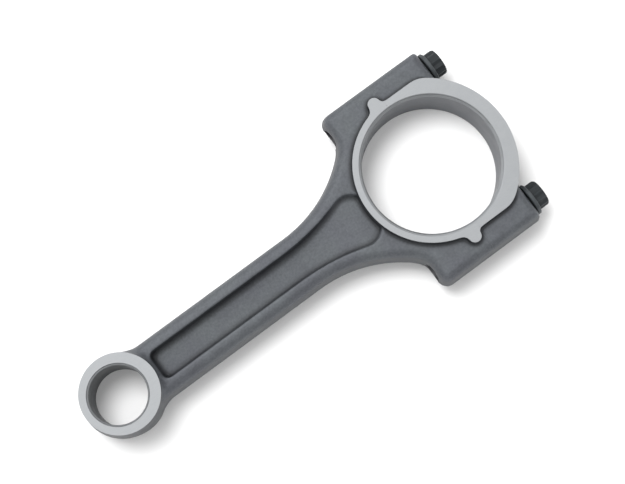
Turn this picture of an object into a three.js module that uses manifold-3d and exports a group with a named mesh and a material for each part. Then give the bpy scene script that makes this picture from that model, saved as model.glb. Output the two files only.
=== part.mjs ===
// Automotive connecting rod: drop-forged I-beam rod with a split big end, its bearing cap,
// two cap screws on washers, a pair of bearing shells and a small-end bush.
//
// Millimetres, +Z up. The rod lies flat on the ground side faces of its two eyes (Z = 0),
// with its length along X, the small end at -X and the cap at +X. The origin is the centre
// of the rod's bounding box, on the ground.
//
// Every piece is drawn around the big-end axis at the rod's mid plane (x = y = z = 0 there)
// and then set in place by the one group at the end, so the piece dimensions read directly.

import * as THREE from 'three';
import { mergeVertices } from 'three/addons/utils/BufferGeometryUtils.js';
import Module from 'manifold-3d';

const wasm = await Module();
wasm.setup();

// ---------------------------------------------------------------- driving dimensions

const centreDistance = 155;        // big-end axis to small-end axis
const width = 24;                  // over the ground side faces of both eyes
const half = width / 2;

const housingRadius = 29;          // big-end bore that holds the shells
const housingChamfer = 0.35;
const shellWall = 0.9;
const shellWidth = 22.4;
const eyeRadius = 12.5;            // small-end bore that holds the bush
const eyeChamfer = 0.2;
const bushWall = 0.65;
const bushWidth = 23.4;
const bushLead = 0.3;
const linerGap = 0.05;             // left between a liner and the bore around it

const padRadius = 31.9;            // raised side face of the big end, on the rod half
const padEnd = 107;                // degrees from the cap's side to where the ring meets a lug
const lugX = -3.7;                 // rounded lugs of the side face, beside the joint line
const lugY = 33.5;
const lugRadius = 2.7;
const lugFoot = 2.3;               // blend at each side of a lug
const capRadius = 37;              // outer arc of the cap's side face
const capArcCentre = -2.2;
const capArcStart = 20.5;
const capFlat = 32;                // half the cap's width where its side face runs straight
const smallRadius = 16.4;          // side face of the small end
const smallOffset = 0.8;           // the small-end boss is thicker towards the beam
const padDraft = 0.9;

const beamHalfWidth = 12.8;
const forgedHalf = 9.2;            // half thickness of the as-forged beam and bolt bosses
const forgedDraft = 1.3;
const flashLine = 0.8;             // flat left all round where the two dies met
const neckReach = 8;               // from the small-end boss's centre to where the neck leaves it
const neckCorner = 2;              // the neck is drawn towards a corner this far along the beam
const neckLength = 9;
const flareStart = -65;            // where the beam begins to widen into the big end
const flareRadius = 55;
const flareEnd = -29;
const shoulderX = -25.2;           // end of the bolt bosses on the beam side
const shoulderBlend = 3;
const bossHalfWidth = 43.2;
const bossCorner = 4.5;
const bossBevel = 2;               // outer corner of the bosses beside the screw heads

const pocketHalfWidth = 5.8;       // I-beam pocket, measured at its floor
const webHalf = 3.6;
const pocketDraft = 1.4;
const pocketInset = 2.5;           // from the small end's side face to the end of the floor
const pocketStartCorner = 3;
const pocketFlareStart = -70;
const pocketFlareRadius = 93;
const pocketFlareEnd = -40;
const pocketCorner = [-36.2, 12.1]; // the pocket's end is drawn towards this corner
const pocketEnd = [-31, 6.3];      // under the big end's ring

const boltY = 34.2;                // cap screw axes, at the mid plane
const boltRadius = 4;
const boltLead = 0.8;
const boltHoleRadius = 4.4;
const boltTipX = -19;
const seatX = 24.25;               // spot face on the cap that the washers sit on
const seatDepth = 0.5;             // taken off the as-forged boss by the spot face
const seatMargin = 0.4;
const washerRadius = 7;
const washerThickness = 1.75;
const washerEdge = 0.3;
const headAcrossFlats = 10;
const headHeight = 4.9;
const headCrown = 0.9;             // how far the head's end is rounded down

const tangLength = 3.6;            // lug that stops a shell from turning, and its notch
const tangZ = 7.2;
const tangWidth = 3.2;
const tangHeight = 0.9;
const notchGap = 0.3;

const past = 2;                    // how far a cutting tool runs past the metal
const sameSpot = 1e-4;             // points closer than this are one vertex
const boreSides = 96;              // facets of a full circle on the large bore
const bossSides = 72;
const smallSides = 48;

// ---------------------------------------------------------------- joining and cutting

function toSolid(geometry) {
  const bare = geometry.clone();
  bare.deleteAttribute('normal');
  bare.deleteAttribute('uv');
  const merged = mergeVertices(bare, sameSpot);
  return new wasm.Manifold(new wasm.Mesh({
    numProp: 3,
    vertProperties: new Float32Array(merged.attributes.position.array),
    triVerts: new Uint32Array(merged.index.array),
  }));
}

function toGeometry(solid) {
  const mesh = solid.getMesh();
  const geometry = new THREE.BufferGeometry();
  geometry.setAttribute('position', new THREE.BufferAttribute(mesh.vertProperties, 3));
  geometry.setIndex(new THREE.BufferAttribute(mesh.triVerts, 1));
  geometry.computeVertexNormals();
  return geometry;
}

// ---------------------------------------------------------------- basic shapes

function box(xRange, yRange, zRange) {
  const size = [xRange, yRange, zRange].map(([low, high]) => high - low);
  const centre = [xRange, yRange, zRange].map(([low, high]) => (high + low) / 2);
  return toSolid(new THREE.BoxGeometry(...size).translate(...centre));
}

// A turned solid about Z from [radius, z] pairs.
function turned(profile, sides) {
  const points = profile.map(([radius, z]) => new THREE.Vector2(radius, z));
  return new THREE.LatheGeometry(points, sides).rotateX(Math.PI / 2);
}

// A turned solid about X from [radius, x] pairs.
function turnedAlongX(profile, sides) {
  const points = profile.map(([radius, x]) => new THREE.Vector2(radius, x));
  return new THREE.LatheGeometry(points, sides).rotateZ(-Math.PI / 2);
}

// A closed outline that is symmetric about X, from the path of its upper half.
function symmetricShape(upper, divisions) {
  const isNew = (p, i, all) => i === 0 || p.distanceTo(all[i - 1]) > sameSpot;
  const above = upper.getPoints(divisions).filter(isNew);
  const offAxis = above.filter((p) => p.y > sameSpot).reverse();
  return new THREE.Shape([...above, ...offAxis.map((p) => new THREE.Vector2(p.x, -p.y))]);
}

// A forging's blank: widest at its mid plane and drafted by `draft` towards both faces.
// `faceOffset` is where the drawn outline lies: -draft at the mid plane, 0 at the faces.
function drafted(shape, halfThickness, draft, faceOffset) {
  const geometry = new THREE.ExtrudeGeometry(shape, {
    depth: flashLine,
    bevelEnabled: true,
    bevelThickness: halfThickness - flashLine / 2,
    bevelSize: draft,
    bevelOffset: faceOffset,
    bevelSegments: 1,
  });
  return toSolid(geometry.translate(0, 0, -flashLine / 2));
}

// ---------------------------------------------------------------- outlines

const smallX = -centreDistance;
const smallBossX = smallX + smallOffset;

// Beam, flare and bolt bosses as forged, at the mid plane.
function forgedOutline() {
  const neckX = smallBossX + neckReach;
  const neckY = Math.sqrt((smallRadius + padDraft) ** 2 - neckReach ** 2);
  const flareTurn = Math.asin((flareEnd - flareStart) / flareRadius);
  const flareEndY = beamHalfWidth + flareRadius * (1 - Math.cos(flareTurn));
  const meetY = flareEndY + (shoulderX - flareEnd) * Math.tan(flareTurn);
  const upper = new THREE.Path();
  upper.moveTo(smallBossX - neckReach, beamHalfWidth);
  upper.lineTo(neckX, neckY);
  upper.quadraticCurveTo(neckX + neckCorner, beamHalfWidth, neckX + neckLength, beamHalfWidth);
  upper.lineTo(flareStart, beamHalfWidth);
  upper.absarc(
    flareStart, beamHalfWidth + flareRadius, flareRadius,
    -Math.PI / 2, -Math.PI / 2 + flareTurn, false,
  );
  upper.quadraticCurveTo(shoulderX, meetY, shoulderX, meetY + shoulderBlend);
  upper.absarc(
    shoulderX + bossCorner, bossHalfWidth - bossCorner, bossCorner,
    Math.PI, Math.PI / 2, true,
  );
  upper.lineTo(seatX + seatDepth - bossBevel, bossHalfWidth);
  upper.lineTo(seatX + seatDepth, bossHalfWidth - bossBevel);
  return symmetricShape(upper, 8);
}

// Raised side face of the big end: a narrow ring round the rod half, a rounded lug beside
// the joint line, and the thick arc of the cap.
function bigEndFace() {
  const lugLeft = lugX - lugRadius;
  const lugRight = lugX + lugRadius;
  const arcY = Math.sqrt(capRadius ** 2 - (capArcStart - capArcCentre) ** 2);
  const tangentX = capArcStart - ((capFlat - arcY) * arcY) / (capArcStart - capArcCentre);
  const upper = new THREE.Path();
  upper.absarc(0, 0, padRadius, Math.PI, THREE.MathUtils.degToRad(padEnd), true);
  upper.quadraticCurveTo(lugLeft, lugY - lugFoot, lugLeft, lugY);
  upper.absarc(lugX, lugY, lugRadius, Math.PI, 0, true);
  upper.quadraticCurveTo(lugRight, capFlat, lugRight + lugFoot, capFlat);
  upper.lineTo(2 * tangentX - capArcStart, capFlat);
  upper.quadraticCurveTo(tangentX, capFlat, capArcStart, arcY);
  upper.absarc(
    capArcCentre, 0, capRadius,
    Math.atan2(arcY, capArcStart - capArcCentre), 0, true,
  );
  return symmetricShape(upper, 16);
}

// Floor of the I-beam pocket. At the big end it runs in under the ring, which closes it.
function pocketOutline() {
  const flareTurn = Math.asin((pocketFlareEnd - pocketFlareStart) / pocketFlareRadius);
  const startX = smallBossX + smallRadius + pocketInset;
  const upper = new THREE.Path();
  upper.absarc(
    startX + pocketStartCorner, pocketHalfWidth - pocketStartCorner, pocketStartCorner,
    Math.PI, Math.PI / 2, true,
  );
  upper.lineTo(pocketFlareStart, pocketHalfWidth);
  upper.absarc(
    pocketFlareStart, pocketHalfWidth + pocketFlareRadius, pocketFlareRadius,
    -Math.PI / 2, -Math.PI / 2 + flareTurn, false,
  );
  upper.quadraticCurveTo(...pocketCorner, ...pocketEnd);
  return symmetricShape(upper, 8);
}

// ---------------------------------------------------------------- the forging, before it is split

function bore(x, radius, chamfer, sides) {
  const mouth = radius + chamfer + past;
  return toSolid(turned([
    [0, -half - past],
    [mouth, -half - past],
    [radius, -half + chamfer],
    [radius, half - chamfer],
    [mouth, half + past],
    [0, half + past],
  ], sides).translate(x, 0, 0));
}

function smallEndBoss() {
  const middle = smallRadius + padDraft;
  return toSolid(turned([
    [0, -half],
    [smallRadius, -half],
    [middle, -flashLine / 2],
    [middle, flashLine / 2],
    [smallRadius, half],
    [0, half],
  ], bossSides).translate(smallBossX, 0, 0));
}

function pocket(side) {
  const depth = forgedHalf + past - webHalf;
  const tool = drafted(pocketOutline(), depth, pocketDraft, 0);
  return tool.translate([0, 0, side * (forgedHalf + past)]);
}

function boltHole(side) {
  const length = 2 * (seatX - shoulderX);
  const hole = new THREE.CylinderGeometry(boltHoleRadius, boltHoleRadius, length, smallSides);
  return toSolid(hole.rotateZ(Math.PI / 2).translate(0, side * boltY, 0));
}

// Flat that the washer sits on, milled across the end of the bolt boss.
function spotFace(side) {
  const inner = boltY - washerRadius - seatMargin;
  const outer = bossHalfWidth + past;
  const span = side > 0 ? [inner, outer] : [-outer, -inner];
  return box([seatX, seatX + seatDepth + past], span, [-half - past, half + past]);
}

function wholeForging() {
  let body = drafted(forgedOutline(), forgedHalf, forgedDraft, -forgedDraft);
  for (const side of [1, -1]) body = body.subtract(pocket(side));
  body = body.add(drafted(bigEndFace(), half, padDraft, 0));
  body = body.add(smallEndBoss());
  body = body.subtract(bore(0, housingRadius, housingChamfer, boreSides));
  body = body.subtract(bore(smallX, eyeRadius, eyeChamfer, smallSides));
  for (const side of [1, -1]) body = body.subtract(boltHole(side)).subtract(spotFace(side));
  return body;
}

// Notch beside the joint line for a shell's tang: `direction` is -1 in the rod, 1 in the cap.
function tangNotch(direction) {
  const length = tangLength + 2 * notchGap;
  return box(
    direction > 0 ? [-past, length] : [-length, past],
    [housingRadius - past, housingRadius + tangHeight + notchGap],
    [tangZ - tangWidth / 2 - notchGap, tangZ + tangWidth / 2 + notchGap],
  );
}

// Everything on one side of the joint plane: `direction` is -1 for the rod, 1 for the cap.
function besideJoint(direction) {
  const reach = centreDistance + capRadius;
  const side = bossHalfWidth + past;
  return box(direction > 0 ? [0, reach] : [-reach, 0], [-side, side], [-half - past, half + past]);
}

function rodForging(forging) {
  return toGeometry(forging.subtract(besideJoint(1)).subtract(tangNotch(-1)));
}

function bearingCap(forging) {
  return toGeometry(forging.subtract(besideJoint(-1)).subtract(tangNotch(1)));
}

// ---------------------------------------------------------------- bearing shells and bush

// Half ring on the rod side (direction -1) or the cap side (1), with its locating tang.
function bearingShell(direction) {
  const outer = housingRadius - linerGap;
  const inner = outer - shellWall;
  const start = direction > 0 ? -Math.PI / 2 : Math.PI / 2;
  const shape = new THREE.Shape();
  shape.absarc(0, 0, outer, start, start + Math.PI, false);
  shape.absarc(0, 0, inner, start + Math.PI, start, true);
  const ring = new THREE.ExtrudeGeometry(shape, {
    depth: shellWidth,
    bevelEnabled: false,
    curveSegments: boreSides / 2,
  }).translate(0, 0, -shellWidth / 2);
  const tang = box(
    direction > 0 ? [notchGap, tangLength] : [-tangLength, -notchGap],
    [outer - shellWall / 2, housingRadius + tangHeight],
    [tangZ - tangWidth / 2, tangZ + tangWidth / 2],
  );
  return toGeometry(toSolid(ring).add(tang));
}

function smallEndBush() {
  const outer = eyeRadius - linerGap;
  const inner = outer - bushWall;
  const end = bushWidth / 2;
  return turned([
    [inner, -end],
    [outer - bushLead, -end],
    [outer, -end + bushLead],
    [outer, end - bushLead],
    [outer - bushLead, end],
    [inner, end],
    [inner, -end],
  ], smallSides).translate(smallX, 0, 0);
}

// ---------------------------------------------------------------- cap screws and washers

// Twelve-point head: two hexagons turned 30 degrees apart.
function twelvePointShape() {
  const corner = headAcrossFlats / Math.sqrt(3);
  const root = headAcrossFlats / 2 / Math.cos(Math.PI / 12);
  const points = [];
  for (let i = 0; i < 24; i += 1) {
    const radius = i % 2 === 0 ? corner : root;
    const turn = (i * Math.PI) / 12;
    points.push(new THREE.Vector2(radius * Math.cos(turn), radius * Math.sin(turn)));
  }
  return new THREE.Shape(points);
}

// Drawn along X with the underside of the head at x = 0 and the head towards +X.
function capScrew() {
  const length = seatX + washerThickness - boltTipX;
  const corner = headAcrossFlats / Math.sqrt(3);
  const prism = new THREE.ExtrudeGeometry(twelvePointShape(), {
    depth: headHeight,
    bevelEnabled: false,
  });
  const crown = turnedAlongX([
    [0, -past],
    [corner + past, -past],
    [corner + past, headHeight - headCrown - past],
    [corner - headCrown, headHeight],
    [0, headHeight],
  ], smallSides);
  const head = toSolid(prism.rotateY(Math.PI / 2)).intersect(toSolid(crown));
  const shank = turnedAlongX([
    [0, -length],
    [boltRadius - boltLead, -length],
    [boltRadius, -length + boltLead],
    [boltRadius, headHeight / 2],
    [0, headHeight / 2],
  ], smallSides);
  return toGeometry(head.add(toSolid(shank)));
}

// Drawn along X with the face that meets the cap at x = 0.
function boltWasher() {
  return turnedAlongX([
    [boltHoleRadius, 0],
    [washerRadius, 0],
    [washerRadius, washerThickness - washerEdge],
    [washerRadius - washerEdge, washerThickness],
    [boltHoleRadius, washerThickness],
    [boltHoleRadius, 0],
  ], smallSides);
}

// ---------------------------------------------------------------- materials

function steel(colour, roughness, metalness) {
  return new THREE.MeshStandardMaterial({ color: colour, roughness, metalness });
}

const forgedSteel = steel(0x6f7479, 0.55, 0.8);
const blackedSteel = steel(0x3a4045, 0.45, 0.8);
const washerSteel = steel(0x4a5055, 0.5, 0.8);
const shellMetal = steel(0x75787e, 0.4, 0.8);
const bushMetal = steel(0x66686a, 0.4, 0.8);

// ---------------------------------------------------------------- assembly

const rod = new THREE.Group();
const bigEnd = new THREE.Group();
rod.add(bigEnd);

function place(name, geometry, material, x = 0, y = 0) {
  const mesh = new THREE.Mesh(geometry, material);
  mesh.name = name;
  mesh.position.set(x, y, 0);
  bigEnd.add(mesh);
  return mesh;
}

const forging = wholeForging();
place('rod_forging', rodForging(forging), forgedSteel);
place('bearing_cap', bearingCap(forging), forgedSteel);
place('bearing_shell_rod_side', bearingShell(-1), shellMetal);
place('bearing_shell_cap_side', bearingShell(1), shellMetal);
place('small_end_bush', smallEndBush(), bushMetal);
for (const [side, label] of [[1, 'left'], [-1, 'right']]) {
  place(`cap_bolt_${label}`, capScrew(), blackedSteel, seatX + washerThickness, side * boltY);
  place(`bolt_washer_${label}`, boltWasher(), washerSteel, seatX, side * boltY);
}

// The cap's outer arc and the small-end boss are the two ends of the bounding box.
const capEndX = capArcCentre + capRadius + padDraft;
const smallEndX = smallBossX - smallRadius - padDraft;
bigEnd.position.set(-(capEndX + smallEndX) / 2, 0, half);

export default rod;
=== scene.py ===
# Looks of the connecting rod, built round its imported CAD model.
#
# The forging is modelled as a smooth solid from its outlines, with draft, fillets and an
# I-beam pocket, and is then faced, bored, drilled and split by boolean cuts, as the real one
# is. The small parts are turned or lofted from their profiles. Shapes are worked out in
# millimetres round the big-end axis at the rod's mid plane, with the small end towards -X,
# and are placed by the CAD boxes. A `side` is 1 or -1 in Y, for one screw or the other. A
# `direction` is -1 for the rod's half of the big end and 1 for the cap's.

import itertools
import math

import bmesh
import bpy
import numpy as np
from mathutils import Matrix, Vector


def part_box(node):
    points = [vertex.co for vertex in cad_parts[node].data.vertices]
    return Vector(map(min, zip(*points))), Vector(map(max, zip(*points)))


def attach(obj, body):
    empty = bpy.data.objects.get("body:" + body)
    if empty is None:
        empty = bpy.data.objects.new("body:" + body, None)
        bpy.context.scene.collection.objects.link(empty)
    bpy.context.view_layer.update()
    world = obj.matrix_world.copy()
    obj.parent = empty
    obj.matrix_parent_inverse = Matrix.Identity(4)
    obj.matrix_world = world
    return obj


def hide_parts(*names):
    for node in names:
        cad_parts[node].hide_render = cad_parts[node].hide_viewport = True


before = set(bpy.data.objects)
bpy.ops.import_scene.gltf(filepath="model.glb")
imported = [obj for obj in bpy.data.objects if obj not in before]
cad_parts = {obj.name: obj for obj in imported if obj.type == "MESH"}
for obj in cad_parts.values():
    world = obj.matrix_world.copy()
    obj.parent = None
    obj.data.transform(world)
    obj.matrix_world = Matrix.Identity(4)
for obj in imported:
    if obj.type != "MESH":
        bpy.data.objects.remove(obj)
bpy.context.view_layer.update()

import openvdb
from mathutils import Matrix, Vector

MM = 0.001

# ------------------------------------------------------------------ places, from the CAD boxes

rod_low, rod_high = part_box("rod_forging")
bush_low, bush_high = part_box("small_end_bush")
washer_low, washer_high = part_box("bolt_washer_left")
bolt_low, bolt_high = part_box("cap_bolt_left")
shell_low, shell_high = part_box("bearing_shell_rod_side")

BIG_END = Vector((rod_high.x, 0, (rod_low.z + rod_high.z) / 2))
HALF = (rod_high.z - rod_low.z) / 2 / MM
SMALL_X = ((bush_low.x + bush_high.x) / 2 - BIG_END.x) / MM
BOLT_Y = (washer_low.y + washer_high.y) / 2 / MM
SEAT_X = (washer_low.x - BIG_END.x) / MM
HEAD_X = (washer_high.x - BIG_END.x) / MM
HEAD_END_X = (bolt_high.x - BIG_END.x) / MM
TIP_X = (bolt_low.x - BIG_END.x) / MM
WASHER_RADIUS = (washer_high.z - washer_low.z) / 2 / MM
HEAD_RADIUS = (bolt_high.z - bolt_low.z) / 2 / MM
SHELL_OUTER = -(shell_low.x - BIG_END.x) / MM
SHELL_HALF = (shell_high.z - shell_low.z) / 2 / MM
BUSH_OUTER = (bush_high.x - bush_low.x) / 2 / MM
BUSH_HALF = (bush_high.z - bush_low.z) / 2 / MM

# ------------------------------------------------------------------ sizes, in millimetres

LINER_GAP = 0.05
HOUSING_RADIUS = SHELL_OUTER + LINER_GAP
HOUSING_CHAMFER = 0.35
CHAMFER_SPREAD = 2          # a bore's chamfer is this many times wider than it is deep
SHELL_WALL = 0.9
SHELL_LEAD = 0.7            # width of the bevel at a shell's edges
SHELL_LEAD_DEPTH = 0.5
EYE_RADIUS = BUSH_OUTER + LINER_GAP
EYE_CHAMFER = 0.2
BUSH_WALL = 0.65
BUSH_LEAD = 0.5
BUSH_LEAD_DEPTH = 0.4
BUSH_BACK_LEAD = 0.25

PAD_RADIUS = 31.9           # the big end's raised face, round the rod half
PAD_END = 107               # degrees from the cap's side to where the ring meets a lug
LUG = (-3.7, 33.5)          # rounded lug of that face, beside the joint
LUG_RADIUS = 2.7
LUG_LEFT_PULL = (-0.2, -2.2)    # from the lug's two ends to the corners that the fillets
LUG_RIGHT_PULL = (0.3, -1.4)    # beside it are drawn towards
LUG_SPREAD = 2.6            # length of the fillet on the cap's side
CAP_RADIUS = 37
CAP_ARC_CENTRE = -2.2
CAP_ARC_START = 20.5
CAP_FLAT = 32
SMALL_FACE_RADIUS = 16.4
SMALL_FACE_X = SMALL_X + 0.8
PAD_DRAFT = 0.9
PAD_FILLET = 0.8
FACE_EDGE = 0.3             # rounding of a raised face's edge, most of which the grinding takes off
EYE_FILLET = 3.0

BEAM_HALF_WIDTH = 12.8
BEAM_HALF = 9.2
BEAM_DRAFT = 1.3
BEAM_EDGE = 3.2             # rounding of the forging's long edges
CROWN = 0.0075              # how the forging's flats fall away within this band of their edges
CROWN_BAND = 8
UNEVENNESS = 0.03           # the dies leave the flats a little wavy
WAVE_LENGTH = 33
WAVE_WIDTH = 26
FLASH_HEIGHT = 0.2          # of the trimmed flash line where the two dies met
FLASH_WIDTH = 0.7
NECK_REACH = 7
NECK_WIDENING = 1.5
FLARE_START = -65
FLARE_RADIUS = 55
FLARE_END = -29
SHOULDER_X = -25.2
SHOULDER_BLEND = 3
BOSS_HALF_WIDTH = 43.2
BOSS_CORNER = 4.5
BOSS_END_X = SEAT_X + 0.4   # the rest comes off with the spot face
BOSS_BEVEL = 2.2
BOSS_BEVEL_EASE = 0.4

POCKET_HALF_WIDTH = 6.0     # I-beam pocket, at its floor
POCKET_INSET = 1.3          # from the small end's raised face
POCKET_START_CORNER = 3
POCKET_FLARE_START = -70
POCKET_FLARE_RADIUS = 93
POCKET_FLARE_END = -40
POCKET_CORNER = (-34.4, 12.6)
POCKET_END = (-30.4, 7)
POCKET_SLOPE = 0.08
POCKET_FOOT = 2.0
POCKET_CROWN = 0.6
WEB_HALF = 3.6
WEB_RISE = 3.4              # the pocket gets shallower towards the big end
WEB_RISE_START = -66
WEB_RISE_END = -36

BOLT_RADIUS = 3.98
BOLT_HOLE_RADIUS = 4.4
THREAD_PITCH = 1.0
THREAD_DEPTH = 0.55
THREAD_LENGTH = 19
BOLT_LEAD = 0.8
HEAD_POINTS = 12
HEAD_CROWN = 1.0            # rounding of the head's end
HEAD_RUB = 0.5              # the finish is rubbed off the head to this depth
THREAD_RUB = 0.3
SPOT_RADIUS = WASHER_RADIUS + 0.5
WASHER_EDGE = 0.3

TANG_LENGTH = 3.6
TANG_Z = 7.2
TANG_WIDTH = 3.2
TANG_HEIGHT = 0.9
NOTCH_GAP = 0.3
JOINT_GAP = 0.015           # each half's share of the hairline between rod and cap

VOXEL = 0.5
MARGIN = 3                  # of empty grid round the forging
FAR_OUTSIDE = 5.0           # what the field counts as beyond the grid
PROUD = 0.6                 # metal left on the side faces for grinding
BEYOND = 250                # a block this big reaches past the rod on every side
OVERSHOOT = 2               # how far a cutting tool runs past the metal it cuts
SPOT_REACH = 20             # depth of the spot-facing tool, enough to clear the cap's arc
MOUTH = 1                   # a bore's chamfers lie within this distance of its ends
# The forging's colour uses this attribute to paint shade into its creases.
CROWDING = "crowding"       # mesh attribute: share of metal around a point of the surface
CROWDING_REACH = 0.9
CROWDING_TAIL = 2.5         # how many reaches away metal still counts
RUBBED = "rubbed"           # mesh attribute: 1 where handling has rubbed the finish off

BIG_BORE_SIDES = 256        # facets round each turned or bored face
SMALL_BORE_SIDES = 144
SCREW_SIDES = 144
WASHER_SIDES = 96
HOLE_SIDES = 64
SHELL_STEPS = 128
SHARP_ANGLE = math.radians(35)
SQUARE_ON = 0.999           # a normal's share along an axis, for a face square to that axis
NEAR = 0.02                 # a face this close to a cut was made by it

# ------------------------------------------------------------------ outlines


def arc(centre, radius, start, end, steps):
    """Points round a circle, from one angle to another, in degrees."""
    angles = np.radians(np.linspace(start, end, steps + 1))
    return [(centre[0] + radius * math.cos(a), centre[1] + radius * math.sin(a)) for a in angles]


def bend(start, corner, end, steps):
    """Points of a quadratic curve that is drawn towards a corner."""
    start, corner, end = (np.array(p, float) for p in (start, corner, end))
    return [
        tuple((1 - t) ** 2 * start + 2 * t * (1 - t) * corner + t**2 * end)
        for t in np.linspace(0, 1, steps + 1)
    ]


def mirrored(upper):
    """A closed outline from its upper half, which starts and ends on the rod's centre line."""
    return np.array(upper + [(x, -y) for x, y in reversed(upper[1:-1])])


def forged_outline():
    """Beam, flare and bolt bosses at the forging's mid plane."""
    turn = math.degrees(math.asin((FLARE_END - FLARE_START) / FLARE_RADIUS))
    flare_centre = (FLARE_START, BEAM_HALF_WIDTH + FLARE_RADIUS)
    flare = arc(flare_centre, FLARE_RADIUS, -90, -90 + turn, 16)
    meet = flare[-1][1] + (SHOULDER_X - FLARE_END) * math.tan(math.radians(turn))
    corner = (SHOULDER_X + BOSS_CORNER, BOSS_HALF_WIDTH - BOSS_CORNER)
    bevel_start = (BOSS_END_X - BOSS_BEVEL, BOSS_HALF_WIDTH)
    bevel_middle = (BOSS_END_X - BOSS_BEVEL_EASE, BOSS_HALF_WIDTH - BOSS_BEVEL_EASE)
    bevel_end = (BOSS_END_X, BOSS_HALF_WIDTH - BOSS_BEVEL)
    return mirrored(
        [(SMALL_FACE_X, 0), (SMALL_FACE_X, BEAM_HALF_WIDTH + NECK_WIDENING)]
        + [(SMALL_FACE_X + NECK_REACH, BEAM_HALF_WIDTH)]
        + flare
        + bend(flare[-1], (SHOULDER_X, meet), (SHOULDER_X, meet + SHOULDER_BLEND), 6)
        + arc(corner, BOSS_CORNER, 180, 90, 8)
        + bend(bevel_start, bevel_middle, bevel_end, 4)
        + [(BOSS_END_X, 0)]
    )


def big_end_outline():
    """Raised side face of the big end: ring, lugs beside the joint, and the cap's arc."""
    arc_y = math.sqrt(CAP_RADIUS**2 - (CAP_ARC_START - CAP_ARC_CENTRE) ** 2)
    tangent_x = CAP_ARC_START - (CAP_FLAT - arc_y) * arc_y / (CAP_ARC_START - CAP_ARC_CENTRE)
    arc_angle = math.degrees(math.atan2(arc_y, CAP_ARC_START - CAP_ARC_CENTRE))
    ring = arc((0, 0), PAD_RADIUS, 180, PAD_END, 30)
    left = (LUG[0] - LUG_RADIUS, LUG[1])
    left_corner = (left[0] + LUG_LEFT_PULL[0], left[1] + LUG_LEFT_PULL[1])
    right = (LUG[0] + LUG_RADIUS, LUG[1])
    right_corner = (right[0] + LUG_RIGHT_PULL[0], right[1] + LUG_RIGHT_PULL[1])
    flat_start = (right[0] + LUG_SPREAD, CAP_FLAT)
    arc_start = (CAP_ARC_START, arc_y)
    turn_in = (2 * tangent_x - CAP_ARC_START, CAP_FLAT)
    return mirrored(
        ring
        + bend(ring[-1], left_corner, left, 4)[1:]
        + arc(LUG, LUG_RADIUS, 180, 0, 14)[1:]
        + bend(right, right_corner, flat_start, 4)[1:]
        + bend(turn_in, (tangent_x, CAP_FLAT), arc_start, 6)
        + arc((CAP_ARC_CENTRE, 0), CAP_RADIUS, arc_angle, 0, 24)[1:]
    )


def pocket_outline():
    """Floor of the I-beam pocket. At the big end it runs in under the raised face."""
    turn = math.degrees(math.asin((POCKET_FLARE_END - POCKET_FLARE_START) / POCKET_FLARE_RADIUS))
    flare_centre = (POCKET_FLARE_START, POCKET_HALF_WIDTH + POCKET_FLARE_RADIUS)
    flare = arc(flare_centre, POCKET_FLARE_RADIUS, -90, -90 + turn, 12)
    start_x = SMALL_FACE_X + SMALL_FACE_RADIUS + POCKET_INSET
    corner = (start_x + POCKET_START_CORNER, POCKET_HALF_WIDTH - POCKET_START_CORNER)
    start = arc(corner, POCKET_START_CORNER, 180, 90, 6)
    end = bend(flare[-1], POCKET_CORNER, POCKET_END, 10)
    return mirrored([(start_x, 0)] + start + flare + end[1:] + [(POCKET_END[0], 0)])


# ------------------------------------------------------------------ the forging as a field


def outline_distance(points, xs, ys):
    """Distance in the plane from a grid to a closed outline, negative inside it."""
    tiny = 1e-12
    px, py = np.meshgrid(xs, ys, indexing="ij")
    nearest = np.full(px.shape, np.inf)
    inside = np.zeros(px.shape, bool)
    for (ax, ay), (bx, by) in zip(points, np.roll(points, -1, axis=0)):
        ex, ey = bx - ax, by - ay
        wx, wy = px - ax, py - ay
        along = np.clip((wx * ex + wy * ey) / max(ex * ex + ey * ey, tiny), 0, 1)
        nearest = np.minimum(nearest, (wx - along * ex) ** 2 + (wy - along * ey) ** 2)
        if ey:
            inside ^= ((ay > py) != (by > py)) & (px < ax + wy * ex / ey)
    return np.where(inside, -1, 1) * np.sqrt(nearest)


def both(a, b, radius):
    """Where both fields are inside, with the edge between them rounded."""
    corner = np.hypot(np.maximum(a + radius, 0), np.maximum(b + radius, 0))
    return np.minimum(np.maximum(a, b), -radius) + corner


def either(a, b, radius):
    """Where either field is inside, with a fillet of that radius between them."""
    return -both(-a, -b, radius)


def in_plan(outline, xs, ys):
    """Distance to an outline in the plane, the same at every height."""
    return outline_distance(outline, xs, ys)[:, :, None]


def die_waves(xs, ys):
    """How far the flats are off true."""
    along = np.sin(xs * 2 * math.pi / WAVE_LENGTH)[:, None, None]
    across = np.cos(ys * 2 * math.pi / WAVE_WIDTH)[None, :, None]
    return UNEVENNESS * along * across


def body_field(xs, ys, zs):
    """Beam and bosses, with drafted sides, a flash line and crowned flats."""
    height = np.abs(zs)[None, None, :]
    plan = in_plan(forged_outline(), xs, ys)
    flash = FLASH_HEIGHT * np.exp(-((zs / FLASH_WIDTH) ** 2))[None, None, :]
    sides = plan + BEAM_DRAFT * height / BEAM_HALF + FLASH_HEIGHT - flash
    fall = CROWN * np.maximum(0, CROWN_BAND + plan) ** 2
    return both(sides, height - BEAM_HALF + fall + die_waves(xs, ys), BEAM_EDGE)


def pocket_field(xs, ys, zs):
    """The I-beam pocket from both sides, down to a web that thickens towards the big end."""
    height = np.abs(zs)[None, None, :]
    along = np.clip((xs - WEB_RISE_START) / (WEB_RISE_END - WEB_RISE_START), 0, 1)
    web = (WEB_HALF + WEB_RISE * along**2 * (3 - 2 * along))[:, None, None]
    walls = in_plan(pocket_outline(), xs, ys) - POCKET_SLOPE * (height - web)
    return both(walls, web - height + die_waves(xs, ys), POCKET_FOOT)


def raised_field(plan, zs):
    """An eye's raised faces: drafted sides round its plan, and proud of their ground height."""
    height = np.abs(zs)[None, None, :]
    return both(plan + PAD_DRAFT * (height / HALF - 1), height - HALF - PROUD, FACE_EDGE)


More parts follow.
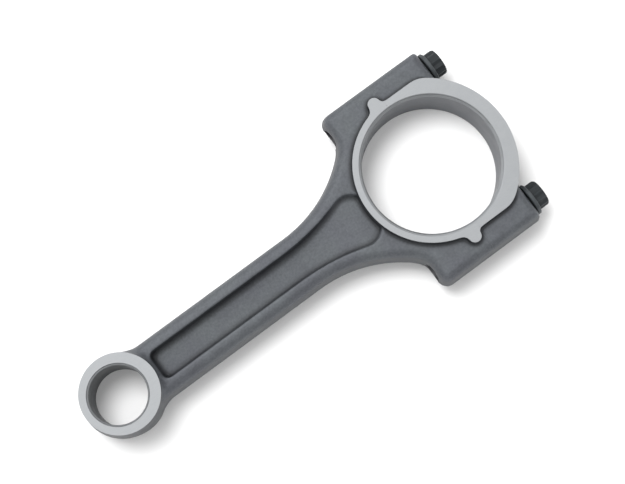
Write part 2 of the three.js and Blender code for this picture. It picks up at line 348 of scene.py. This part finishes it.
def forging_field(xs, ys, zs):
    """Distance to the forged blank's surface, before any machining."""
    body = both(body_field(xs, ys, zs), -pocket_field(xs, ys, zs), POCKET_CROWN)
    big_eye = raised_field(in_plan(big_end_outline(), xs, ys), zs)
    px, py = np.meshgrid(xs, ys, indexing="ij")
    small_plan = (np.hypot(px - SMALL_FACE_X, py) - SMALL_FACE_RADIUS)[:, :, None]
    small_eye = raised_field(small_plan, zs)
    return either(either(body, big_eye, PAD_FILLET), small_eye, EYE_FILLET)


def crowding_field(field, zs):
    """Share of metal round each grid point: over a half in a crease, under it at an edge."""
    ground = np.maximum(field, (np.abs(zs) - HALF)[None, None, :])
    share = np.clip(0.5 - ground / VOXEL, 0, 1).astype(np.float32)
    reach = CROWDING_REACH / VOXEL
    furthest = math.ceil(CROWDING_TAIL * reach)
    steps = range(-furthest, furthest + 1)
    weights = [math.exp(-0.5 * (step / reach) ** 2) for step in steps]
    for axis in range(3):
        blurred = sum(w * np.roll(share, step, axis) for w, step in zip(weights, steps))
        share = blurred / sum(weights)
    return share


def forged_blank():
    """The blank's mesh in local millimetres, its crowding grid and that grid's low corner."""
    low = np.array([SMALL_FACE_X - SMALL_FACE_RADIUS, -BOSS_HALF_WIDTH, -HALF]) - MARGIN
    low = np.floor(low / VOXEL) * VOXEL
    high = np.array([CAP_ARC_CENTRE + CAP_RADIUS, BOSS_HALF_WIDTH, HALF]) + MARGIN
    xs, ys, zs = (np.arange(a, b, VOXEL) for a, b in zip(low, high))
    field = forging_field(xs, ys, zs)
    grid = openvdb.FloatGrid(FAR_OUTSIDE)
    grid.copyFromArray(field.astype(np.float32))
    points, quads = grid.convertToQuads(isovalue=0.0)
    mesh = bpy.data.meshes.new("blank")
    mesh.from_pydata((points * VOXEL + low).tolist(), [], quads.tolist())
    return mesh, crowding_field(field, zs), low


def mark_crowding(mesh, grid, low):
    """Stores the crowding at each vertex, blended between the grid's nearest eight samples."""
    points = np.empty(len(mesh.vertices) * 3)
    mesh.vertices.foreach_get("co", points)
    just_inside = 0.001
    last = np.array(grid.shape) - 1 - just_inside
    at = np.clip((points.reshape(-1, 3) - low) / VOXEL, 0, last)
    base = at.astype(int)
    part = at - base
    total = np.zeros(len(at))
    for corner in itertools.product((0, 1), repeat=3):
        weight = np.prod(np.where(corner, part, 1 - part), axis=1)
        total += weight * grid[tuple((base + corner).T)]
    mesh.attributes.new(CROWDING, "FLOAT", "POINT").data.foreach_set("value", total)


# ------------------------------------------------------------------ mesh making


def piece(name, mesh):
    """A new object in the scene."""
    made = bpy.data.objects.new(name, mesh)
    bpy.context.scene.collection.objects.link(made)
    return made


def turned(name, profile, sides, axis="Z"):
    """A closed turned solid from (radius, height) pairs; radius 0 closes on the axis."""
    shape = bmesh.new()
    rings = []
    for radius, height in profile:
        if radius == 0:
            rings.append([shape.verts.new((0, 0, height))])
        else:
            rings.append([
                shape.verts.new((radius * math.cos(a), radius * math.sin(a), height))
                for a in np.linspace(0, 2 * math.pi, sides, endpoint=False)
            ])
    if len(rings[0]) > 1:
        rings.append(rings[0])
    join_rings(shape, rings)
    if axis == "X":
        bmesh.ops.rotate(shape, verts=shape.verts, matrix=Matrix.Rotation(math.pi / 2, 3, "Y"))
    return finished(name, shape)


def join_rings(shape, rings):
    """Faces between each ring of vertices and the next; a ring of one vertex is a tip."""
    for first, second in zip(rings, rings[1:]):
        count = max(len(first), len(second))
        for i in range(count):
            j = (i + 1) % count
            corners = [first[i % len(first)], first[j % len(first)]]
            corners += [second[j % len(second)], second[i % len(second)]]
            shape.faces.new(list(dict.fromkeys(corners)))


def finished(name, shape):
    """The mesh of a bmesh shape, with its faces turned outwards."""
    bmesh.ops.recalc_face_normals(shape, faces=shape.faces)
    mesh = bpy.data.meshes.new(name)
    shape.to_mesh(mesh)
    shape.free()
    return mesh


def box(name, x, y, z):
    """A block between two ends along each axis."""
    shape = bmesh.new()
    bmesh.ops.create_cube(shape, size=1)
    size = [b - a for a, b in (x, y, z)]
    centre = [(a + b) / 2 for a, b in (x, y, z)]
    bmesh.ops.scale(shape, vec=size, verts=shape.verts)
    bmesh.ops.translate(shape, vec=centre, verts=shape.verts)
    return finished(name, shape)


def moved(mesh, offset):
    """The same mesh, shifted."""
    mesh.transform(Matrix.Translation(offset))
    return mesh


def boolean(mesh, tools, operation="DIFFERENCE"):
    """The mesh after each tool mesh is cut from it, or joined or intersected with it."""
    work = piece("work", mesh)
    helpers = []
    for tool in tools:
        helper = piece("tool", tool)
        helpers.append(helper)
        cut = work.modifiers.new("cut", "BOOLEAN")
        cut.operation = operation
        cut.solver = "MANIFOLD"
        cut.object = helper
    evaluated = work.evaluated_get(bpy.context.evaluated_depsgraph_get())
    result = bpy.data.meshes.new_from_object(evaluated)
    for helper in [work, *helpers]:
        bpy.data.objects.remove(helper)
    result.materials.clear()
    return result


# ------------------------------------------------------------------ machining


def bore_tool(x, radius, chamfer, sides):
    """What comes out of an eye when it is bored and chamfered at both faces."""
    depth = chamfer / CHAMFER_SPREAD
    mouth = radius + chamfer + OVERSHOOT * CHAMFER_SPREAD
    end = HALF + OVERSHOOT
    profile = [
        (0, -end), (mouth, -end), (radius, -HALF + depth),
        (radius, HALF - depth), (mouth, end), (0, end),
    ]
    return moved(turned("bore", profile, sides), (x, 0, 0))


def bolt_hole_tool(side):
    """A drill that goes right through the bosses of cap and rod."""
    reach = 2 * SEAT_X
    profile = [(0, -reach), (BOLT_HOLE_RADIUS, -reach), (BOLT_HOLE_RADIUS, reach), (0, reach)]
    return moved(turned("hole", profile, HOLE_SIDES, "X"), (0, side * BOLT_Y, 0))


def spot_face_tool(side):
    """The counterbore that leaves a flat seat for the washer on the cap's boss."""
    end = SEAT_X + SPOT_REACH
    profile = [(0, SEAT_X), (SPOT_RADIUS, SEAT_X), (SPOT_RADIUS, end), (0, end)]
    return moved(turned("spot", profile, WASHER_SIDES, "X"), (0, side * BOLT_Y, 0))


def notch_tool(direction):
    """The notch in the housing that a shell's tang drops into."""
    ends = sorted([-direction, direction * (TANG_LENGTH + 2 * NOTCH_GAP)])
    return box(
        "notch",
        ends,
        (HOUSING_RADIUS - OVERSHOOT, HOUSING_RADIUS + TANG_HEIGHT + NOTCH_GAP),
        (TANG_Z - TANG_WIDTH / 2 - NOTCH_GAP, TANG_Z + TANG_WIDTH / 2 + NOTCH_GAP),
    )


def machined(blank):
    """The blank after facing, boring, drilling and spot-facing, still in one piece."""
    slab = box("slab", (-BEYOND, BEYOND), (-BEYOND, BEYOND), (-HALF, HALF))
    tools = [
        bore_tool(0, HOUSING_RADIUS, HOUSING_CHAMFER, BIG_BORE_SIDES),
        bore_tool(SMALL_X, EYE_RADIUS, EYE_CHAMFER, SMALL_BORE_SIDES),
    ]
    for side in (1, -1):
        tools += [bolt_hole_tool(side), spot_face_tool(side)]
    return boolean(boolean(blank, [slab], "INTERSECT"), tools)


# ------------------------------------------------------------------ nodes

NOISE_LOW = 0.3             # noise lies mostly between these two
NOISE_HIGH = 0.7


def add(tree, kind, *values, operation=None, **named):
    """A new node. Its inputs come in order or by name: an output is linked, a value is set."""
    node = tree.nodes.new(kind)
    if operation:
        node.operation = operation
    pairs = list(zip(node.inputs, values))
    pairs += [(node.inputs[name.replace("_", " ")], value) for name, value in named.items()]
    for socket, value in pairs:
        if isinstance(value, bpy.types.NodeSocket):
            tree.links.new(value, socket)
        else:
            socket.default_value = value
    return node


def noise(tree, place, size, detail=2, stretch=(1, 1, 1)):
    """Random values with features `size` millimetres across, drawn out by `stretch`."""
    frequency = [1 / (size * MM * s) for s in stretch]
    place = add(tree, "ShaderNodeMapping", Vector=place, Scale=frequency).outputs["Vector"]
    return add(tree, "ShaderNodeTexNoise", Vector=place, Scale=1, Detail=detail).outputs["Fac"]


def remap(tree, value, low, high, first, last):
    """A value that runs from `first` to `last` as the given one runs from `low` to `high`."""
    node = add(
        tree, "ShaderNodeMapRange",
        Value=value, From_Min=low, From_Max=high, To_Min=first, To_Max=last,
    )
    return node.outputs["Result"]


def vary(tree, random, first, last):
    """A value that noise moves between `first` and `last`."""
    return remap(tree, random, NOISE_LOW, NOISE_HIGH, first, last)


def ramp(tree, value, stops):
    """A colour blended between (position, colour) stops."""
    node = add(tree, "ShaderNodeValToRGB", value)
    elements = node.color_ramp.elements
    while len(elements) < len(stops):
        elements.new(0.5)
    for element, (position, colour) in zip(elements, stops):
        element.position = position
        element.color = (*colour, 1)
    return node.outputs["Color"]


def scaled(tree, colour, factor):
    node = add(tree, "ShaderNodeVectorMath", operation="SCALE", Vector=colour, Scale=factor)
    return node.outputs["Vector"]


def bump(tree, height, depth, normal=None):
    """Surface relief `depth` millimetres deep, on top of any earlier relief."""
    node = add(tree, "ShaderNodeBump", Height=height, Distance=depth * MM, Strength=1)
    if normal:
        tree.links.new(normal, node.inputs["Normal"])
    return node.outputs["Normal"]


def attribute(tree, name):
    node = add(tree, "ShaderNodeAttribute")
    node.attribute_name = name
    return node.outputs["Fac"]


def new_material(name, metallic):
    """A new metal, its node tree, and that tree's socket for the place on the piece."""
    made = bpy.data.materials.new(name)
    made.use_nodes = True
    tree = made.node_tree
    tree.nodes["Principled BSDF"].inputs["Metallic"].default_value = metallic
    return made, tree, add(tree, "ShaderNodeTexCoord").outputs["Object"]


def surface(tree, colour, roughness, normal):
    """Links a finish to the tree's shader."""
    shader = tree.nodes["Principled BSDF"]
    tree.links.new(colour, shader.inputs["Base Color"])
    tree.links.new(roughness, shader.inputs["Roughness"])
    tree.links.new(normal, shader.inputs["Normal"])


# ------------------------------------------------------------------ materials

SCALE_DARK = (0.097, 0.103, 0.116)
SCALE_LIGHT = (0.11, 0.12, 0.129)
# The forging's colour carries painted shade: darker in creases, where metal crowds round the
# surface.
CREASE = (0.51, 0.6)        # crowding where a crease starts and where it is deepest
EDGE = (0.45, 0.36)         # crowding where an edge starts and where it is sharpest
PAINTED_CREASE_SHADE = 0.35
EDGE_SHADE = 1.1
# Painted shade on the sides: faces steeper than the flats are given a darker colour.
STEEP = (0.1, 0.5)          # how level the steepest faces are, and those that count as flats
PAINTED_SIDE_SHADE = 0.52


def forged_steel():
    """Shot-blasted forging: bluish scale, peened all over, with painted shade in its creases and on
    its steep sides, and a little lighter at sharp edges.
    """
    made, tree, place = new_material("forged_steel", 0.45)
    crowding = attribute(tree, CROWDING)
    clouds = noise(tree, place, 16, 4)
    stains = noise(tree, place, 5, 5)
    speckle = noise(tree, place, 0.9, 2)
    colour = ramp(tree, clouds, [(0.35, SCALE_DARK), (0.65, SCALE_LIGHT)])
    colour = scaled(tree, colour, vary(tree, stains, 0.9, 1.1))
    colour = scaled(tree, colour, vary(tree, speckle, 0.88, 1.12))
    # Painted shade: darker where metal crowds round the surface, in creases and fillets; sharp
    # edges are made a little lighter.
    colour = scaled(tree, colour, remap(tree, crowding, *CREASE, 1.0, PAINTED_CREASE_SHADE))
    colour = scaled(tree, colour, remap(tree, crowding, *EDGE, 1.0, EDGE_SHADE))
    # Painted shade: steep faces are darker than the flats, and upright sides are the darkest.
    normal = add(tree, "ShaderNodeTexCoord").outputs["Normal"]
    level = add(tree, "ShaderNodeSeparateXYZ", normal).outputs["Z"]
    level = add(tree, "ShaderNodeMath", level, operation="ABSOLUTE").outputs["Value"]
    colour = scaled(tree, colour, remap(tree, level, *STEEP, PAINTED_SIDE_SHADE, 1.0))
    coarse = bump(tree, noise(tree, place, 1.6, 2), 0.05)
    peened = bump(tree, noise(tree, place, 0.6, 1), 0.03, coarse)
    surface(tree, colour, vary(tree, stains, 0.48, 0.58), peened)
    return made


GROUND_DARK = (0.29, 0.3, 0.31)
GROUND_LIGHT = (0.32, 0.33, 0.34)
DISC_CENTRE = (-0.05, -0.32, 0)         # metres; the grinding disc turned about here,
CROSS_CENTRE = (0.02, 0.35, 0)          # and on its way back about here


def disc_marks(tree, place, centre, spacing):
    """Fine arcs round a far centre, as a large grinding disc leaves them."""
    away = add(tree, "ShaderNodeVectorMath", place, centre, operation="DISTANCE").outputs["Value"]
    line = add(tree, "ShaderNodeCombineXYZ", away).outputs["Vector"]
    return noise(tree, line, spacing, 2)


def ground_face():
    """Disc-ground side face: pale, with crossing arcs and the faintest mottle."""
    made, tree, place = new_material("ground_face", 0.9)
    mottle = noise(tree, place, 4, 4)
    marks = disc_marks(tree, place, DISC_CENTRE, 0.25)
    cross = disc_marks(tree, place, CROSS_CENTRE, 0.35)
    colour = ramp(tree, mottle, [(NOISE_LOW, GROUND_DARK), (NOISE_HIGH, GROUND_LIGHT)])
    colour = scaled(tree, colour, vary(tree, marks, 0.96, 1.04))
    colour = scaled(tree, colour, vary(tree, cross, 0.97, 1.03))
    crossed = bump(tree, cross, 0.002, bump(tree, marks, 0.003))
    surface(tree, colour, vary(tree, mottle, 0.36, 0.44), crossed)
    return made


def turned_metal(name, dark, light, metallic, roughness, stretch):
    """A bored or turned surface, with tool marks that run along the stretched axes."""
    made, tree, place = new_material(name, metallic)
    marks = noise(tree, place, 0.25, 3, stretch)
    clouds = noise(tree, place, 7, 4)
    colour = ramp(tree, clouds, [(NOISE_LOW, dark), (NOISE_HIGH, light)])
    colour = scaled(tree, colour, vary(tree, marks, 0.92, 1.08))
    gloss = vary(tree, clouds, roughness - 0.05, roughness + 0.05)
    surface(tree, colour, gloss, bump(tree, marks, 0.006))
    return made


GRAIN_DARK = (0.2, 0.2, 0.21)
GRAIN_LIGHT = (0.36, 0.36, 0.37)


def fractured_steel():
    """The joint plane, where the cap was cracked off the rod: a fine, sparkling grain."""
    made, tree, place = new_material("fractured_steel", 0.85)
    grain = noise(tree, place, 0.7, 4)
    colour = ramp(tree, grain, [(0.35, GRAIN_DARK), (0.65, GRAIN_LIGHT)])
    surface(tree, colour, vary(tree, grain, 0.35, 0.6), bump(tree, grain, 0.15))
    return made


def blacked_steel(name, dark, light, roughness):
    """Black-oxide fastener steel, with the finish rubbed thin on corners and thread crests."""
    made, tree, place = new_material(name, 0.3)
    clouds = noise(tree, place, 3, 5)
    fine = noise(tree, place, 0.4, 2)
    rubbed = attribute(tree, RUBBED)
    colour = ramp(tree, clouds, [(NOISE_LOW, dark), (NOISE_HIGH, light)])
    colour = scaled(tree, colour, vary(tree, fine, 0.9, 1.1))
    colour = scaled(tree, colour, remap(tree, rubbed, 0.6, 1.0, 1.0, 1.5))
    gloss = vary(tree, clouds, roughness, roughness + 0.1)
    surface(tree, colour, gloss, bump(tree, fine, 0.01))
    return made


BORE_MARKS = (60, 60, 1)    # tool marks run round an upright bore,
HOLE_MARKS = (1, 60, 60)    # and round a hole along the rod

# Each colour is a pair, the dark and the light of its clouds.
BORED_COLOUR = (0.26, 0.27, 0.28), (0.31, 0.32, 0.33)
DRILLED_COLOUR = (0.18, 0.18, 0.19), (0.24, 0.24, 0.25)
SHELL_COLOUR = (0.088, 0.094, 0.106), (0.106, 0.113, 0.127)
BUSH_COLOUR = (0.038, 0.044, 0.05), (0.048, 0.055, 0.062)
SCREW_COLOUR = (0.016, 0.02, 0.023), (0.024, 0.029, 0.032)
WASHER_COLOUR = (0.05, 0.058, 0.063), (0.066, 0.074, 0.08)

bored_steel = turned_metal("bored_steel", *BORED_COLOUR, 0.9, 0.4, BORE_MARKS)
forging_finishes = [
    forged_steel(),
    ground_face(),
    bored_steel,
    turned_metal("drilled_steel", *DRILLED_COLOUR, 0.85, 0.42, HOLE_MARKS),
    fractured_steel(),
]
FORGED, GROUND, BORED, DRILLED, FRACTURED = range(len(forging_finishes))
shell_lining = turned_metal("shell_lining", *SHELL_COLOUR, 0.4, 0.45, BORE_MARKS)
bush_lining = turned_metal("bush_lining", *BUSH_COLOUR, 0.4, 0.45, BORE_MARKS)
screw_steel = blacked_steel("screw_black", *SCREW_COLOUR, 0.58)
washer_steel = blacked_steel("washer_black", *WASHER_COLOUR, 0.5)

# ------------------------------------------------------------------ pieces


def sharpen_borders(mesh):
    """Makes each edge between two finishes a crisp one, as a cutting tool leaves it."""
    shape = bmesh.new()
    shape.from_mesh(mesh)
    for edge in shape.edges:
        if len({face.material_index for face in edge.link_faces}) > 1:
            edge.smooth = False
    shape.to_mesh(mesh)
    shape.free()


def placed(mesh, body, node):
    """Turns a local mesh in millimetres into the piece that stands for a CAD node."""
    mesh.transform(Matrix.Translation(BIG_END) @ Matrix.Scale(MM, 4))
    made = piece(f"{node}_skin", mesh)
    mesh.shade_smooth()
    mesh.set_sharp_from_angle(angle=SHARP_ANGLE)
    sharpen_borders(mesh)
    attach(made, body)
    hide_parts(node)


def paint_machined(mesh):
    """Gives each face of a machined forging the finish of the cut that made it."""
    for finish in forging_finishes:
        mesh.materials.append(finish)
    count = len(mesh.polygons)
    centre = np.empty(count * 3)
    normal = np.empty(count * 3)
    mesh.polygons.foreach_get("center", centre)
    mesh.polygons.foreach_get("normal", normal)
    x, y, z = centre.reshape(-1, 3).T
    along_x, _, along_z = np.abs(normal.reshape(-1, 3).T)
    from_big = np.hypot(x, y)
    from_small = np.hypot(x - SMALL_X, y)
    from_hole = np.hypot(np.abs(y) - BOLT_Y, z)
    finish = np.full(count, FORGED, np.int32)
    in_bore = (from_big < HOUSING_RADIUS + NEAR) | (from_small < EYE_RADIUS + NEAR)
    at_mouth = (from_big < HOUSING_RADIUS + MOUTH) | (from_small < EYE_RADIUS + MOUTH)
    finish[in_bore | (at_mouth & (np.abs(z) > HALF - MOUTH))] = BORED
    finish[(along_z > SQUARE_ON) & (np.abs(z) > HALF - NEAR)] = GROUND
    spot_wall = (x > SEAT_X) & (np.abs(from_hole - SPOT_RADIUS) < NEAR)
    seat = (along_x > SQUARE_ON) & (np.abs(x - SEAT_X) < NEAR)
    finish[(from_hole < BOLT_HOLE_RADIUS + NEAR) | spot_wall | seat] = DRILLED
    finish[(along_x > SQUARE_ON) & (np.abs(x) < JOINT_GAP + NEAR)] = FRACTURED
    mesh.polygons.foreach_set("material_index", finish)


def build_forging():
    """Rod and cap, machined as one blank and then parted at the joint."""
    blank, crowding, low = forged_blank()
    whole = machined(blank)
    for node, direction, body in (("rod_forging", -1, "rod"), ("bearing_cap", 1, "cap")):
        away = (-JOINT_GAP, BEYOND) if direction < 0 else (-BEYOND, JOINT_GAP)
        far_half = box("away", away, (-BEYOND, BEYOND), (-BEYOND, BEYOND))
        mesh = boolean(whole.copy(), [far_half, notch_tool(direction)])
        mark_crowding(mesh, crowding, low)
        paint_machined(mesh)
        placed(mesh, body, node)


def paint_liner(mesh, lining, centre_x, inner):
    """Dull lining on the running face; bright steel on the back, the edges and any tang."""
    mesh.materials.append(lining)
    mesh.materials.append(bored_steel)
    for face in mesh.polygons:
        on_running_face = math.hypot(face.center.x - centre_x, face.center.y) < inner + NEAR
        face.material_index = 0 if on_running_face else 1


def shell_mesh(direction):
    """Half of the big end's plain bearing, with the tang that locates it."""
    inner = SHELL_OUTER - SHELL_WALL
    profile = [
        (inner + SHELL_LEAD, -SHELL_HALF), (SHELL_OUTER, -SHELL_HALF), (SHELL_OUTER, SHELL_HALF),
        (inner + SHELL_LEAD, SHELL_HALF), (inner, SHELL_HALF - SHELL_LEAD_DEPTH),
        (inner, -SHELL_HALF + SHELL_LEAD_DEPTH),
    ]
    shape = bmesh.new()
    start = -90 if direction > 0 else 90
    rings = [
        [shape.verts.new((r * math.cos(a), r * math.sin(a), z)) for r, z in profile]
        for a in np.radians(np.linspace(start, start + 180, SHELL_STEPS + 1))
    ]
    join_rings(shape, rings)
    shape.faces.new(rings[0])
    shape.faces.new(rings[-1])
    tang = box(
        "tang",
        sorted([direction * NOTCH_GAP, direction * TANG_LENGTH]),
        (SHELL_OUTER - SHELL_WALL / 2, HOUSING_RADIUS + TANG_HEIGHT),
        (TANG_Z - TANG_WIDTH / 2, TANG_Z + TANG_WIDTH / 2),
    )
    return boolean(finished("shell", shape), [tang], "UNION")


def build_shells():
    for node, direction, body in (
        ("bearing_shell_rod_side", -1, "rod"),
        ("bearing_shell_cap_side", 1, "cap"),
    ):
        mesh = shell_mesh(direction)
        paint_liner(mesh, shell_lining, 0, SHELL_OUTER - SHELL_WALL)
        placed(mesh, body, node)


def build_bush():
    inner = BUSH_OUTER - BUSH_WALL
    mouth = inner + BUSH_LEAD
    back = BUSH_OUTER - BUSH_BACK_LEAD
    profile = [
        (mouth, -BUSH_HALF), (back, -BUSH_HALF), (BUSH_OUTER, -BUSH_HALF + BUSH_BACK_LEAD),
        (BUSH_OUTER, BUSH_HALF - BUSH_BACK_LEAD), (back, BUSH_HALF), (mouth, BUSH_HALF),
        (inner, BUSH_HALF - BUSH_LEAD_DEPTH), (inner, -BUSH_HALF + BUSH_LEAD_DEPTH),
    ]
    mesh = moved(turned("bush", profile, SMALL_BORE_SIDES), (SMALL_X, 0, 0))
    paint_liner(mesh, bush_lining, SMALL_X, inner)
    placed(mesh, "rod", "small_end_bush")


def screw_radius(x, angle):
    """Radius of the cap screw at a distance along its axis and an angle round it."""
    if x > HEAD_X:
        point = 2 * math.pi / HEAD_POINTS
        off = (angle + point / 2) % point - point / 2
        flat = HEAD_RADIUS * math.cos(point) / math.cos(point - abs(off))
        from_crown = max(0, HEAD_CROWN - (HEAD_END_X - x)) / HEAD_CROWN
        crown = HEAD_RADIUS - HEAD_CROWN * (1 - math.sqrt(1 - min(1, from_crown) ** 2))
        return min(flat, crown)
    if x < TIP_X + THREAD_LENGTH:
        phase = (x / THREAD_PITCH - angle / (2 * math.pi)) % 1
        ridge = BOLT_RADIUS - THREAD_DEPTH * abs(2 * phase - 1)
        return min(ridge, BOLT_RADIUS - BOLT_LEAD + (x - TIP_X))
    return BOLT_RADIUS


def rubbed_share(x, radius):
    """How far the finish is rubbed off the screw: most on the head's points and the crests."""
    if x > HEAD_X:
        return max(0, 1 - (HEAD_RADIUS - radius) / HEAD_RUB)
    if x < TIP_X + THREAD_LENGTH:
        return max(0, 1 - (BOLT_RADIUS - radius) / THREAD_RUB)
    return 0


def screw_mesh():
    """A cap screw as one lofted solid: thread, plain shank and twelve-point head."""
    below_end = HEAD_CROWN * np.array([1.6, 1, 0.8, 0.6, 0.4, 0.2, 0.08, 0])
    square_step = 0.001
    stations = [
        *np.arange(TIP_X, TIP_X + THREAD_LENGTH, THREAD_PITCH / 6),
        TIP_X + THREAD_LENGTH,
        HEAD_X,
        HEAD_X + square_step,
        *(HEAD_END_X - below_end),
    ]
    shape = bmesh.new()
    rubbed = shape.verts.layers.float.new(RUBBED)

    def vertex(x, radius, angle):
        made = shape.verts.new((x, radius * math.cos(angle), radius * math.sin(angle)))
        made[rubbed] = rubbed_share(x, radius)
        return made

    angles = np.linspace(0, 2 * math.pi, SCREW_SIDES, endpoint=False)
    rings = [[vertex(stations[0], 0, 0)]]
    for x in stations:
        rings.append([vertex(x, screw_radius(x, a), a) for a in angles])
    rings.append([vertex(stations[-1], 0, 0)])
    join_rings(shape, rings)
    return finished("screw", shape)


def washer_mesh():
    bore = BOLT_HOLE_RADIUS
    rim = WASHER_RADIUS - WASHER_EDGE
    profile = [
        (bore, SEAT_X), (rim, SEAT_X), (WASHER_RADIUS, SEAT_X + WASHER_EDGE),
        (WASHER_RADIUS, HEAD_X - WASHER_EDGE), (rim, HEAD_X), (bore, HEAD_X),
    ]
    return turned("washer", profile, WASHER_SIDES, "X")


def build_screws():
    for side, label in ((1, "left"), (-1, "right")):
        for mesh, metal, kind, node in (
            (screw_mesh(), screw_steel, "bolt", f"cap_bolt_{label}"),
            (washer_mesh(), washer_steel, "washer", f"bolt_washer_{label}"),
        ):
            mesh.materials.append(metal)
            placed(moved(mesh, (0, side * BOLT_Y, 0)), f"{kind}_{label}", node)


# ------------------------------------------------------------------ stage

PAPER_HALF = 3000           # millimetres
PAPER_DEPTH = 20
PAPER_GREY = 0.62
PAPER_GLOW = 0.1            # the paper is lit a little from below
DOME_LOW = 0.5              # brightness at the horizon
DOME_HIGH = 1.0             # brightness overhead
KEY_STRENGTH = 2.2
KEY_SIDE = math.radians(104)   # both lights come from here, counted round from the cap's end
KEY_TILT = math.radians(34)    # from straight overhead
KEY_FOCUS = 6
PAPER_LAMP_TILT = math.radians(20)
PAPER_LAMP_DISTANCE = 1.5   # metres
PAPER_LAMP_SIZE = 0.7       # metres
PAPER_LAMP_WATTS = 22


def towards(tilt):
    """Direction of a light that is tilted from overhead to the key's side."""
    return Vector((
        math.sin(tilt) * math.cos(KEY_SIDE),
        math.sin(tilt) * math.sin(KEY_SIDE),
        math.cos(tilt),
    ))


def build_floor():
    """A sheet of pale paper under the rod."""
    reach = (-PAPER_HALF, PAPER_HALF)
    floor_mesh = box("floor", reach, reach, (-PAPER_DEPTH, 0))
    floor_mesh.transform(Matrix.Scale(MM, 4))
    paper = bpy.data.materials.new("pale_floor")
    paper.use_nodes = True
    shader = paper.node_tree.nodes["Principled BSDF"]
    shader.inputs["Base Color"].default_value = (PAPER_GREY, PAPER_GREY, PAPER_GREY, 1)
    shader.inputs["Roughness"].default_value = 0.9
    shader.inputs["Emission Color"].default_value = (1, 1, 1, 1)
    shader.inputs["Emission Strength"].default_value = PAPER_GLOW
    floor_mesh.materials.append(paper)
    floor = piece("floor", floor_mesh)
    return floor


def build_paper_lamp(floor):
    """A high lamp that lights only the paper, so that the rod's shadow on it stays short."""
    light = bpy.data.lights.new("paper_lamp", "AREA")
    light.shape = "DISK"
    light.size = PAPER_LAMP_SIZE
    light.energy = PAPER_LAMP_WATTS
    lamp = bpy.data.objects.new("paper_lamp", light)
    lamp.location = towards(PAPER_LAMP_TILT) * PAPER_LAMP_DISTANCE
    lamp.rotation_euler = towards(PAPER_LAMP_TILT).to_track_quat("Z", "Y").to_euler()
    bpy.context.scene.collection.objects.link(lamp)
    lit = bpy.data.collections.new("lit_by_paper_lamp")
    lit.objects.link(floor)
    lamp.light_linking.receiver_collection = lit


def build_light():
    """A soft studio dome: bright overhead, dim at the horizon, with a broad key to one side."""
    world = bpy.data.worlds.new("studio")
    world.use_nodes = True
    tree = world.node_tree
    direction = add(tree, "ShaderNodeTexCoord").outputs["Generated"]
    height = add(tree, "ShaderNodeSeparateXYZ", direction).outputs["Z"]
    dome = remap(tree, height, 0, 1, DOME_LOW, DOME_HIGH)
    to_key = towards(KEY_TILT)
    facing = add(tree, "ShaderNodeVectorMath", direction, to_key, operation="DOT_PRODUCT")
    ahead = remap(tree, facing.outputs["Value"], 0, 1, 0, 1)
    lobe = add(tree, "ShaderNodeMath", ahead, KEY_FOCUS, operation="POWER").outputs["Value"]
    total = add(tree, "ShaderNodeMath", lobe, KEY_STRENGTH, dome, operation="MULTIPLY_ADD")
    tree.nodes["Background"].inputs["Color"].default_value = (1, 1, 1, 1)
    tree.links.new(total.outputs["Value"], tree.nodes["Background"].inputs["Strength"])
    bpy.context.scene.world = world


def build_camera():
    """The camera looks almost straight down, from the small end's right."""
    aim = Vector((0.0117, 0.0047, 0.012))
    distance = 0.676
    azimuth = math.radians(-33.8)
    elevation = math.radians(81.3)
    roll = math.radians(-2.8)
    back = Vector((
        math.sin(azimuth) * math.cos(elevation),
        -math.cos(azimuth) * math.cos(elevation),
        math.sin(elevation),
    ))
    camera = bpy.data.cameras.new("camera")
    camera.lens = 95.85
    camera.clip_start = 0.01
    holder = bpy.data.objects.new("camera", camera)
    holder.location = aim + back * distance
    turn = (-back).to_track_quat("-Z", "Y").to_matrix() @ Matrix.Rotation(roll, 3, "Z")
    holder.rotation_euler = turn.to_euler()
    bpy.context.scene.collection.objects.link(holder)
    bpy.context.scene.camera = holder


build_forging()
build_shells()
build_bush()
build_screws()
build_paper_lamp(build_floor())
build_light()
build_camera()
bpy.context.scene.view_settings.view_transform = "Standard"
